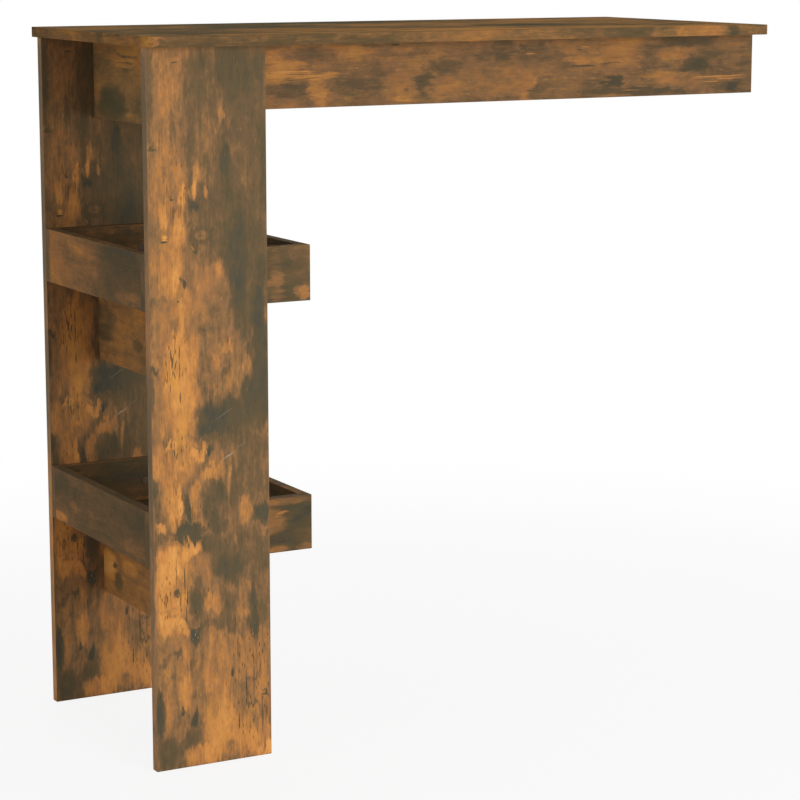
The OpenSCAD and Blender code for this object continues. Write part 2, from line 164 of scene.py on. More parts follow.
class Wiring:
    """Adds nodes to one tree. An input that is given a socket is linked, and any other is set."""

    def __init__(self, tree):
        self.tree = tree

    def link(self, source, target):
        self.tree.links.new(source, target)

    def add(self, kind, inputs, **settings):
        node = self.tree.nodes.new("ShaderNode" + kind)
        for name, value in settings.items():
            setattr(node, name, value)
        for key, value in inputs.items():
            if isinstance(value, bpy.types.NodeSocket):
                self.link(value, node.inputs[key])
            else:
                node.inputs[key].default_value = value
        return node

    def math(self, operation, *values):
        return self.add("Math", dict(enumerate(values)), operation=operation).outputs[0]

    def vector(self, operation, *values):
        node = self.add("VectorMath", dict(enumerate(values)), operation=operation)
        return node.outputs["Value" if operation in ("DOT_PRODUCT", "LENGTH") else "Vector"]

    def mix(self, factor, a, b):
        return self.add("Mix", {0: factor, 2: a, 3: b}, data_type="FLOAT").outputs[0]

    def mix_vector(self, factor, a, b):
        return self.add("Mix", {0: factor, 4: a, 5: b}, data_type="VECTOR").outputs[1]

    def mix_colour(self, factor, a, b, blend="MIX"):
        return self.add("Mix", {0: factor, 6: a, 7: b}, data_type="RGBA", blend_type=blend).outputs[2]

    def remap(self, value, low, high, to_low=0.0, to_high=1.0):
        """A smooth step between two values, which stays between them without being clamped."""
        inputs = {"Value": value, "From Min": low, "From Max": high, "To Min": to_low, "To Max": to_high}
        return self.add("MapRange", inputs, interpolation_type="SMOOTHSTEP", clamp=False).outputs[0]

    def step(self, value, name):
        return self.remap(value, *STEPS[name])

    def ramp(self, value, stops):
        node = self.add("ValToRGB", {"Fac": value})
        elements = node.color_ramp.elements
        while len(elements) < len(stops):
            elements.new(0.5)
        for element, (at, tone) in zip(elements, stops):
            element.position = at
            element.color = linear(tone)
        return node.outputs["Color"]

    def noise(self, place, name, output=0):
        across, along, detail, roughness = NOISES[name]
        scaled = self.vector("MULTIPLY", place, (across, along, 1.0))
        inputs = {"Vector": scaled, "Scale": 1.0, "Detail": detail, "Roughness": roughness}
        return self.add("TexNoise", inputs).outputs[output]

    def swing(self, place, name):
        """A noise that swings about nought."""
        return self.math("SUBTRACT", self.noise(place, name), 0.5)

    def swing_vector(self, place, name):
        """Three noises that swing about nought, as a vector."""
        return self.vector("SUBTRACT", self.noise(place, name, output=1), (0.5, 0.5, 0.5))

    def shake(self, place, noise, reach, share=1.0):
        """A place that a noise moves by so much across the grain and along it."""
        return self.vector("MULTIPLY_ADD", noise, (reach[0] * share, reach[1] * share, 0.0), place)

    def cells(self, place, counts, output):
        scaled = self.vector("MULTIPLY", place, (*counts, 1.0))
        return self.add("TexVoronoi", {"Vector": scaled, "Scale": 1.0}).outputs[output]

    def seen(self):
        """1 on the rays that a viewer sees, straight, mirrored or let through, and 0 on the others."""
        rays = self.add("LightPath", {}).outputs
        direct = self.math("MAXIMUM", rays["Is Camera Ray"], rays["Is Glossy Ray"])
        return self.math("MAXIMUM", direct, rays["Is Transmission Ray"])


def group(name, inputs, outputs):
    """A new node group with its own wiring, and its input and output nodes."""
    tree = bpy.data.node_groups.new(name, "ShaderNodeTree")
    for label, kind in inputs:
        tree.interface.new_socket(label, in_out="INPUT", socket_type="NodeSocket" + kind)
    for label, kind in outputs:
        tree.interface.new_socket(label, in_out="OUTPUT", socket_type="NodeSocket" + kind)
    ins = tree.nodes.new("NodeGroupInput").outputs
    outs = tree.nodes.new("NodeGroupOutput").inputs
    return tree, Wiring(tree), ins, outs


def new_material(name):
    """A new material with its own wiring, and its shader."""
    material = bpy.data.materials.new(name)
    material.use_nodes = True
    return material, Wiring(material.node_tree), material.node_tree.nodes["Principled BSDF"]


def dress(node, material):
    """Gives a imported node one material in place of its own."""
    node.data.materials.clear()
    node.data.materials.append(material)


def make_oak_print():
    """The foil's print: darkness is what was painted, plus clouds, streaks, mottling and fibres, each
    a noise drawn out along the grain. A ramp turns darkness into colour, and cracks, ticks and flecks
    come on top."""
    tree, w, ins, outs = group(
        "smoked_oak_print",
        [("Place", "Vector"), ("Painted", "Float"), ("Clouds", "Float"), ("Grain", "Float"),
         ("Cracks", "Float")],
        [("Colour", "Color"), ("Roughness", "Float"), ("Height", "Float")],
    )
    place = ins["Place"]
    wander = w.swing(place, "wander")
    shiver = w.swing(place, "shiver")
    sideways = w.math("ADD", w.math("MULTIPLY", wander, WANDER), w.math("MULTIPLY", shiver, SHIVER))
    grown = w.vector("ADD", place, w.add("CombineXYZ", {"X": sideways}).outputs[0])

    clouds = w.step(w.noise(grown, "clouds"), "clouds")
    # Dark and bright patches with ragged edges, as strong as the clouds
    torn = w.shake(grown, w.noise(place, "tears", output=1), TORN_EDGE)
    smoky = w.step(w.noise(torn, "smoky"), "smoky")
    bare = w.step(w.noise(w.vector("ADD", torn, BARE_PLACE), "bare"), "bare")
    clouds = w.math("ADD", clouds, w.math("ADD", smoky, bare))
    blotches = w.swing(grown, "blotches")
    streaks = w.swing(grown, "streaks")
    streaked = w.step(w.noise(grown, "streaked"), "streaked")
    mottling = w.swing(grown, "mottling")
    fibres = w.swing(grown, "fibres")

    clear = w.math("MULTIPLY", ins["Grain"], w.step(ins["Painted"], "clear"))
    darkness = w.math("MULTIPLY_ADD", clouds, ins["Clouds"], ins["Painted"])
    darkness = w.math("MULTIPLY_ADD", blotches, BLOTCHES, darkness)
    for layer, share in ((streaks, streaked), (mottling, MOTTLING), (fibres, FIBRES)):
        darkness = w.math("MULTIPLY_ADD", w.math("MULTIPLY", layer, share), clear, darkness)
    wood = w.ramp(darkness, OAK_TONES)

    # A pinkish or an amber cast in places, which is gone in the deep smoke
    cast = w.noise(grown, "cast")
    blush = w.math("MULTIPLY", w.step(cast, "mauve_cast"), w.step(darkness, "mauve_shade"))
    wood = w.mix_colour(blush, wood, linear(MAUVE_TONE))
    glow = w.math("MULTIPLY", w.step(cast, "amber_cast"), w.step(darkness, "amber_shade"))
    wood = w.mix_colour(glow, wood, linear(AMBER_TONE))

    # Hairline cracks are the level lines of a noise drawn out along the grain
    hairline = w.step(w.math("ABSOLUTE", w.swing(grown, "hairlines")), "hairline")
    broken = w.step(w.noise(place, "broken"), "broken")
    # Ticks are single stretched cells, picked out at random
    tick = w.step(w.cells(grown, TICKS, "Distance"), "tick")
    picked = w.add("SeparateColor", {0: w.cells(grown, TICKS, "Color")}).outputs[0]
    picked = w.step(picked, "picked_tick")
    marks = w.math("MAXIMUM", w.math("MULTIPLY", hairline, broken), w.math("MULTIPLY", tick, picked))
    marks = w.math("MULTIPLY", marks, ins["Cracks"])
    wood = w.mix_colour(w.math("MULTIPLY", marks, CRACK_STRENGTH), wood, linear(CRACK_TONE))

    # Pale flecks lie between the cracks
    fleck = w.step(w.cells(grown, FLECKS, "Distance"), "fleck")
    picked = w.add("SeparateColor", {0: w.cells(grown, FLECKS, "Color")}).outputs[1]
    picked = w.step(picked, "picked_fleck")
    fleck = w.math("MULTIPLY", w.math("MULTIPLY", fleck, picked), w.step(darkness, "fleck_shade"))
    wood = w.mix_colour(fleck, wood, linear(OAK_TONES[0][1]))

    w.link(wood, outs["Colour"])
    rough = w.math("MULTIPLY_ADD", mottling, MOTTLING_ROUGHNESS, PRINT_ROUGHNESS)
    rough = w.math("MULTIPLY_ADD", fibres, FIBRES_ROUGHNESS, rough)
    w.link(rough, outs["Roughness"])
    w.link(w.math("MULTIPLY_ADD", fibres, FIBRES_RELIEF, mottling), outs["Height"])
    return tree


def make_painting(name, strokes):
    """What was painted on one print: from a base value, each stroke is an ellipse that draws the value to
    its own. A stroke is (across, along, half width, half length, value, lean in degrees, soft share),
    and the last two can be left out."""
    tree, w, ins, outs = group(name, [("Place", "Vector"), ("Base", "Float")], [("Value", "Float")])
    value = ins["Base"]
    for stroke in strokes:
        ending = STROKE_ENDING[len(stroke) - 5:]
        across, along, half_width, half_length, target, lean, soft = (*stroke, *ending)
        blob = w.add("TexGradient", {"Vector": ins["Place"]}, gradient_type="SPHERICAL")
        mapping = blob.texture_mapping
        mapping.vector_type = "TEXTURE"
        mapping.translation = (across * MM, along * MM, 0.0)
        mapping.rotation = (0.0, 0.0, math.radians(lean))
        mapping.scale = (half_width * MM / FULL_SHARE, half_length * MM / FULL_SHARE, 1.0)
        value = w.mix(w.remap(blob.outputs["Fac"], 0.0, soft), value, target)
    w.link(value, outs["Value"])
    return tree


# Smoke on the panels: across from the left edge, along down from the top
PANEL_SMOKE = [
    # Upper third
    (128, 140, 66, 150, 0.69), (84, 150, 18, 60, 0.61), (30, 56, 24, 64, 0.51), (28, 66, 12, 30, 0.44),
    (3, 50, 7, 58, 0.69), (80, 50, 24, 52, 0.70), (90, 42, 8, 14, 0.64), (130, 34, 28, 44, 0.79),
    (168, 44, 12, 46, 0.69), (178, 34, 3, 12, 0.56), (112, 97, 4, 18, 0.48), (126, 126, 13, 6, 0.76),
    (118, 159, 12, 20, 0.88), (124, 192, 9, 20, 0.79), (150, 160, 24, 80, 0.67),
    (177, 176, 5, 50, 0.80), (26, 190, 30, 64, 0.42), (9, 180, 8, 52, 0.50), (38, 118, 4, 22, 0.60),
    (21, 136, 5, 16, 0.52), (6, 139, 6, 3, 0.70), (8, 190, 4, 16, 0.46), (36, 196, 2, 20, 0.48),
    (45, 200, 2, 22, 0.44), (50, 216, 6, 20, 0.18), (63, 150, 5, 52, 0.70), (71, 188, 3, 17, 0.30),
    (87, 198, 3, 12, 0.32), (80, 172, 12, 12, 0.46), (70, 218, 6, 11, 0.93), (76, 259, 16, 11, 0.75),
    (80, 260, 9, 4, 0.58), (71, 275, 8, 10, 0.74), (22, 234, 6, 18, 0.24), (42, 262, 12, 16, 0.26),
    (48, 246, 8, 18, 0.22), (98, 278, 14, 18, 0.60), (148, 292, 34, 50, 0.79), (172, 290, 12, 50, 0.80),
    (133, 322, 14, 20, 0.86), (26, 305, 27, 46, 0.34), (42, 318, 9, 22, 0.22), (7, 318, 6, 20, 0.46),
    (51, 327, 4, 7, 0.70), (86, 312, 24, 30, 0.46), (104, 310, 5, 18, 0.33), (84, 290, 20, 9, 0.60),
    # Middle third
    (12, 346, 16, 8, 0.58), (40, 374, 36, 22, 0.44), (98, 412, 26, 74, 0.55), (54, 358, 14, 28, 0.33),
    (76, 362, 12, 26, 0.42), (70, 412, 11, 24, 0.39), (46, 406, 17, 20, 0.29), (38, 384, 10, 13, 0.56),
    (48, 376, 4, 24, 0.22), (152, 356, 30, 20, 0.82), (144, 380, 14, 28, 0.76),
    (168, 446, 13, 78, 0.87), (150, 486, 11, 20, 0.86), (150, 428, 7, 10, 0.74),
    (14, 460, 13, 120, 0.43), (165, 372, 11, 30, 0.95), (46, 472, 26, 74, 0.24),
    (36, 440, 13, 44, 0.20), (5, 400, 4, 20, 0.50), (4, 444, 8, 7, 0.76), (3, 478, 4, 26, 0.66),
    (16, 520, 4, 30, 0.34), (118, 416, 10, 8, 0.36), (102, 428, 10, 6, 0.42), (146, 449, 8, 9, 0.42),
    (126, 464, 10, 9, 0.53), (113, 452, 6, 8, 0.70), (88, 481, 12, 5, 0.62), (80, 452, 10, 12, 0.50),
    (112, 514, 40, 27, 0.88), (98, 507, 17, 10, 0.98), (86, 530, 13, 13, 0.93),
    (166, 514, 18, 22, 0.86), (142, 576, 36, 52, 0.66), (132, 566, 10, 24, 0.62),
    (118, 550, 44, 10, 0.70), (134, 600, 10, 16, 0.72), (122, 534, 8, 16, 0.84),
    (32, 575, 34, 32, 0.27), (30, 547, 9, 9, 0.13), (44, 560, 4, 12, 0.46), (20, 544, 5, 8, 0.54),
    (70, 562, 16, 8, 0.20), (88, 566, 5, 6, 0.84), (60, 547, 12, 5, 0.34), (88, 594, 16, 10, 0.28),
    (104, 592, 7, 14, 0.46), (98, 560, 8, 10, 0.60), (3, 617, 4, 15, 0.82), (44, 594, 8, 16, 0.44),
    (28, 632, 13, 34, 0.28, -8), (12, 664, 9, 8, 0.18), (41, 632, 4, 27, 0.12),
    (65, 626, 9, 24, 0.32, 12), (5, 640, 5, 20, 0.60), (53, 640, 6, 20, 0.90), (54, 674, 24, 10, 0.93),
    (96, 640, 20, 36, 0.68), (104, 622, 6, 20, 0.82), (118, 613, 4, 24, 0.48), (128, 642, 11, 36, 0.72),
    (142, 652, 10, 17, 0.42), (147, 610, 14, 18, 0.62), (168, 660, 13, 16, 0.93),
    (100, 672, 18, 12, 0.78),
    # Lower third
    (52, 685, 24, 6, 0.90), (132, 714, 50, 38, 0.70), (118, 736, 24, 19, 0.82),
    (165, 727, 12, 26, 0.74), (82, 698, 10, 12, 0.78), (127, 698, 4, 16, 0.54), (173, 686, 6, 6, 0.44),
    (150, 752, 26, 14, 0.64), (34, 750, 31, 58, 0.26), (10, 750, 9, 52, 0.22), (58, 703, 14, 10, 0.15),
    (24, 724, 18, 24, 0.14), (68, 740, 16, 22, 0.46), (40, 752, 14, 14, 0.44), (22, 800, 18, 22, 0.20),
    (68, 752, 6, 10, 0.62), (65, 777, 13, 20, 0.76), (90, 789, 17, 14, 0.36), (92, 770, 8, 8, 0.52),
    (118, 784, 14, 16, 0.62), (154, 792, 5, 38, 0.82), (137, 796, 12, 14, 0.50),
    (170, 796, 8, 16, 0.58), (34, 761, 5, 5, 0.66), (26, 790, 9, 9, 0.30), (82, 818, 30, 6, 0.66),
    (62, 827, 8, 14, 0.92), (44, 822, 10, 10, 0.26), (118, 822, 10, 16, 0.64), (152, 822, 8, 14, 0.80),
    (24, 862, 24, 28, 0.52), (18, 859, 7, 8, 0.68), (36, 862, 8, 5, 0.70), (28, 892, 4, 22, 0.66),
    (46, 912, 11, 28, 0.33), (50, 858, 8, 14, 0.38), (6, 886, 6, 14, 0.52), (6, 938, 6, 32, 0.92),
    (22, 930, 8, 26, 0.46), (41, 939, 3, 4, 0.92), (60, 953, 5, 11, 0.92), (63, 922, 3, 14, 0.64),
    (40, 968, 16, 12, 0.46), (53, 978, 6, 12, 0.68), (17, 998, 16, 26, 0.74), (38, 1008, 10, 12, 0.62),
    (96, 876, 24, 50, 0.40), (128, 850, 16, 16, 0.42), (168, 852, 15, 36, 0.38),
    (150, 850, 12, 14, 0.46), (88, 900, 12, 20, 0.34), (130, 968, 16, 44, 0.32),
    (102, 968, 28, 42, 0.23), (110, 930, 6, 34, 0.22), (88, 938, 8, 16, 0.40), (76, 1008, 30, 14, 0.24),
    (119, 892, 3, 6, 0.80), (116, 1004, 4, 12, 0.46), (150, 906, 34, 54, 0.38),
    (150, 906, 14, 3, 0.56, 8), (151, 943, 14, 3, 0.56, 4), (172, 930, 5, 2, 0.78),
    (150, 992, 22, 24, 0.24), (168, 982, 10, 20, 0.30), (172, 1010, 16, 14, 0.08),
    (169, 1002, 2, 12, 0.40),
]
# Knots and dark spots of the panels, whose outlines are firm
PANEL_DETAILS = [
    (43, 18, 6, 5, 0.47), (43, 17, 4, 2, 0.40), (42, 21, 5, 1.2, 0.72), (36, 208, 2.5, 1.2, 0.82),
    (24, 259, 4, 3, 0.14), (23, 265, 4.5, 1.5, 0.94), (24, 263, 4, 0.8, 0.06), (7, 139, 6, 2, 0.70),
    (79, 259, 17, 12, 0.72), (80, 259, 10, 7, 0.56), (80, 260, 7, 1.4, 0.62), (71, 281, 3, 4, 0.80),
    (66, 276, 5, 1.0, 0.40, 50), (53, 326, 2.4, 6, 0.86), (82, 392, 1.6, 1.6, 0.80),
    (43, 349, 1.4, 1.4, 0.82), (31, 424, 0.9, 8, 1.0, -4), (33, 435, 0.8, 7, 0.96, 6),
    (44, 420, 0.6, 10, 0.78), (44, 446, 0.6, 12, 0.74), (44, 484, 0.7, 8, 0.94),
    (38, 438, 0.7, 7, 0.84, 9), (36, 452, 0.7, 5, 0.84, -12), (29, 470, 0.6, 6, 0.70),
    (34, 562, 0.8, 6, 0.96, -8), (38, 566, 0.7, 5, 0.90, 10), (30, 548, 0.6, 6, 0.70),
    (86, 566, 2.4, 5, 0.96), (47, 742, 0.9, 15, 0.86), (51, 770, 0.9, 13, 0.80),
    (49, 796, 0.9, 12, 0.84), (34, 761, 3.6, 4.2, 0.84), (36, 768, 1.6, 1.6, 0.80),
    (30, 790, 9, 8, 0.34), (30, 790, 6, 5, 0.24), (60, 828, 6, 10, 0.96), (154, 832, 1.4, 12, 0.90),
    (119, 891, 2.2, 5, 0.94), (141, 912, 0.8, 24, 0.78), (153, 900, 0.7, 28, 0.76),
    (166, 960, 0.7, 26, 0.74), (129, 962, 0.7, 12, 0.74), (170, 929, 5, 1.2, 0.90),
    (41, 940, 2.8, 3.2, 0.94), (60, 953, 3.6, 9, 0.94),
]
PANEL_CRACKS = [
    (38, 430, 20, 60, 0.9), (35, 552, 20, 26, 1.0), (34, 770, 26, 50, 1.0), (152, 910, 40, 90, 1.0),
    (44, 196, 20, 60, 0.7), (60, 640, 60, 50, 0.6), (76, 190, 18, 24, 0.6), (84, 785, 26, 22, 0.8),
]
PANEL_SCRATCHES = [
    (117, 573, 1.0, 12, 0.62, 59, 0.9), (111, 512, 0.8, 17, 0.20, 62, 0.9),
    (136, 560, 0.6, 9, 0.24, 66, 0.9), (104, 516, 0.6, 8, 0.16, 60, 0.9), (62, 826, 0.6, 2, 0.6),
    (66, 831, 0.5, 1.5, 0.5), (58, 833, 0.5, 1.2, 0.5), (64, 822, 0.4, 1.2, 0.5),
]
FRONT_PANEL_BAND = [(5007, 350, 60, 80, 0.46), (5007, 880, 60, 60, 0.38), (5007, 130, 60, 60, 0.66)]
BACK_PANEL_BAND = [(5007, 800, 60, 230, 0.24), (5007, 300, 60, 70, 0.70)]
# Smoke on the top: across from its front edge, along from its left end
TOP_SMOKE = [
    (225, 80, 260, 105, 0.62), (300, 290, 46, 110, 0.78), (190, 690, 36, 75, 0.78),
    (85, 700, 40, 220, 0.47), (36, 735, 40, 300, 0.42), (10, 900, 16, 45, 0.26),
    (120, 420, 30, 150, 0.52), (400, 640, 40, 220, 0.68), (250, 560, 26, 120, 0.52),
    (60, 300, 26, 140, 0.60), (340, 820, 30, 120, 0.50), (140, 900, 30, 90, 0.54),
    (430, 300, 24, 260, 0.76),
    # Edge bands
    (5007, 250, 60, 260, 0.62), (5007, 620, 60, 120, 0.58), (5007, 882, 60, 60, 0.24),
    (5007, 830, 60, 20, 0.42), (5007, 958, 60, 9, 0.80), (5007, 3, 60, 5, 0.36),
    (7007, 22, 60, 20, 0.40), (7005, 12, 5, 5, 0.05), (7010, 20, 4, 4, 0.10), (7006, 28, 5, 3, 0.16),
    (7007, 250, 60, 180, 0.52),
]
# Smoke on the apron that shows: across down from its top edge, along from its left end
APRON_SMOKE = [
    (30, 117, 22, 28, 0.40), (45, 147, 5, 55, 0.33), (64, 127, 10, 42, 0.72), (70, 167, 18, 15, 0.40),
    (17, 162, 12, 42, 0.72), (15, 242, 12, 35, 0.50), (45, 247, 20, 45, 0.68), (65, 304, 22, 30, 0.48),
    (80, 307, 3, 10, 0.35), (14, 506, 6, 7, 0.78), (25, 312, 15, 20, 0.62), (55, 352, 25, 14, 0.75),
    (38, 382, 10, 35, 0.70), (70, 422, 18, 60, 0.47), (15, 412, 10, 60, 0.62), (15, 472, 15, 20, 0.72),
    (60, 482, 25, 25, 0.48), (70, 512, 20, 15, 0.45), (20, 532, 20, 25, 0.66), (35, 572, 20, 20, 0.70),
    (70, 537, 12, 20, 0.70), (20, 612, 15, 30, 0.55), (33, 627, 6, 50, 0.48), (83, 740, 5, 44, 0.80),
    (25, 682, 20, 35, 0.48), (70, 602, 15, 50, 0.62), (65, 662, 8, 16, 0.92), (80, 682, 6, 60, 0.76),
    (30, 742, 25, 30, 0.68), (28, 782, 10, 40, 0.50), (62, 762, 10, 40, 0.50), (8, 802, 9, 50, 0.80),
    (45, 812, 12, 30, 0.80), (65, 862, 3, 40, 0.42), (72, 857, 8, 40, 0.60), (78, 887, 8, 16, 0.84),
    (30, 892, 20, 30, 0.56),
]
# Cracks, spots and pale stripes of the apron that shows, whose outlines are firm
APRON_DETAILS = [
    (5, 296, 1.8, 7, 0.84), (69, 314, 3.4, 5, 0.70, 0, 0.9), (42, 612, 1.2, 22, 0.90, -1),
    (39, 663, 0.8, 24, 0.76, 3), (49, 700, 0.7, 30, 0.70, -3), (47, 752, 0.9, 26, 0.80, 4),
    (44, 590, 0.6, 12, 0.72), (63, 862, 0.9, 44, 0.22), (67, 884, 0.7, 26, 0.28),
    (71, 846, 0.8, 15, 0.26), (57, 905, 0.6, 14, 0.74), (22, 522, 1.2, 8, 0.30),
    (14, 618, 0.9, 7, 0.24), (18, 608, 0.8, 5, 0.84), (80, 700, 0.8, 20, 0.48),
    (77, 716, 0.7, 18, 0.90), (39, 130, 0.8, 36, 0.20), (43, 150, 0.7, 30, 0.62),
    (50, 140, 0.8, 46, 0.66, 4), (84, 305, 1.0, 12, 0.24),
]
# Smoke on the cross rails: across down from the top edge, along from the back
TOP_RAIL_SMOKE = [
    # The first stroke lightens the rail's top strip: painted light against the shade under the tabletop
    (10, 130, 20, 220, 0.46), (30, 125, 14, 50, 0.40), (24, 130, 2, 40, 0.62), (34, 120, 1.5, 44, 0.58),
    (43, 134, 1.5, 30, 0.60), (95, 70, 26, 52, 0.86), (60, 10, 40, 14, 0.54),
]
MIDDLE_RAIL_SMOKE = [
    (60, 20, 22, 45, 0.80), (85, 25, 8, 30, 0.80), (85, 150, 10, 20, 0.74), (30, 160, 26, 26, 0.50),
    (118, 90, 9, 90, 0.50),
]
LOWER_RAIL_SMOKE = [
    (78, 16, 22, 38, 0.18), (10, 165, 16, 28, 0.46), (76, 46, 6, 9, 0.80), (70, 100, 12, 30, 0.36),
    (100, 58, 16, 16, 0.78),
]
# Smoke on the tray walls: across down from the top edge, along from the back or from the left end
UPPER_END_SMOKE = [
    (40, 92, 60, 100, 0.54), (40, 16, 60, 34, 0.44), (60, 65, 12, 30, 0.46), (40, 280, 60, 80, 0.80),
    (15, 275, 20, 60, 0.86), (70, 300, 12, 50, 0.68),
]
LOWER_END_SMOKE = [
    (30, 25, 28, 45, 0.84), (72, 20, 8, 30, 0.33), (30, 85, 16, 20, 0.80), (40, 210, 50, 85, 0.68),
    (20, 305, 20, 40, 0.82), (65, 310, 16, 50, 0.58),
]
UPPER_FRONT_SMOKE = [
    (14, 215, 20, 50, 0.76), (20, 218, 9, 8, 0.88), (56, 199, 22, 16, 0.38), (68, 248, 11, 9, 0.34),
    (65, 238, 8, 6, 0.44),
]
LOWER_FRONT_SMOKE = [
    (35, 195, 25, 20, 0.42), (5, 210, 6, 45, 0.40), (27, 238, 7, 20, 0.82, 30), (60, 205, 9, 32, 0.84),
    (75, 200, 5, 20, 0.45), (75, 242, 5, 12, 0.45), (21, 212, 2.5, 9, 0.22, 10),
]


def board_axes(lay):
    """The unit vectors across the grain, along it and from the shown face inwards, from three words."""
    vectors = []
    for word in lay.split():
        vector = [0.0, 0.0, 0.0]
        vector["xyz".index(word[1])] = 1.0 if word[0] == "+" else -1.0
        vectors.append(np.array(vector))
    return vectors


def make_build_up():
    """How a board is built up. From the distances to its six sides come the masks of its bands, glue
    lines, arrises and core, and the place on the print's sheet of each face and band."""
    tree, w, ins, outs = group(
        "board_build_up",
        [("Position", "Vector"), ("Origin", "Vector"), ("Across", "Vector"), ("Along", "Vector"),
         ("Through", "Vector"), ("Size", "Vector")],
        [("Place", "Vector"), ("Shown face", "Float"), ("Band", "Float"), ("Glue", "Float"),
         ("Arris", "Float"), ("Core", "Float")],
    )
    local = w.vector("SUBTRACT", ins["Position"], ins["Origin"])
    size = w.add("SeparateXYZ", {0: ins["Size"]}).outputs
    across = w.vector("DOT_PRODUCT", local, ins["Across"])
    along = w.vector("DOT_PRODUCT", local, ins["Along"])
    through = w.vector("DOT_PRODUCT", local, ins["Through"])
    far, depth = [], []
    for measure, whole in zip((across, along, through), size):
        other = w.math("SUBTRACT", whole, measure)
        far.append(w.math("GREATER_THAN", measure, other))
        depth.append(w.math("MINIMUM", measure, other))
    long_band = w.math("LESS_THAN", depth[0], BAND * MM)
    end_band = w.math("LESS_THAN", depth[1], BAND * MM)
    beyond = w.math("MULTIPLY", far[2], OTHER_FACE)
    face = w.add("CombineXYZ", {"X": w.math("ADD", across, beyond), "Y": w.math("ADD", along, beyond)})
    strip = w.math("ADD", through, w.math("MULTIPLY_ADD", far[0], FAR_SIDE, LONG_BAND))
    strip = w.add("CombineXYZ", {"X": strip, "Y": along}).outputs[0]
    end = w.math("ADD", through, w.math("MULTIPLY_ADD", far[1], FAR_SIDE, END_BAND))
    end = w.add("CombineXYZ", {"X": end, "Y": across}).outputs[0]
    place = w.mix_vector(end_band, w.mix_vector(long_band, face.outputs[0], strip), end)
    w.link(place, outs["Place"])
    band = w.math("MAXIMUM", long_band, end_band)
    w.link(band, outs["Band"])
    w.link(w.math("SUBTRACT", 1.0, far[2]), outs["Shown face"])
    nearest = w.math("MINIMUM", depth[0], depth[1])
    joint = w.math("ABSOLUTE", w.math("SUBTRACT", nearest, (BAND + GLUE_LINE / 2) * MM))
    w.link(w.math("LESS_THAN", joint, GLUE_LINE / 2 * MM), outs["Glue"])
    skin = w.math("MINIMUM", nearest, depth[2])
    w.link(w.math("GREATER_THAN", skin, CORE_DEPTH * MM), outs["Core"])
    second = w.math("MAXIMUM", nearest, depth[2])
    second = w.math("MINIMUM", second, w.math("MAXIMUM", depth[0], depth[1]))
    w.link(w.step(second, "arris"), outs["Arris"])
    return tree


OAK_PRINT = make_oak_print()
BUILD_UP = make_build_up()


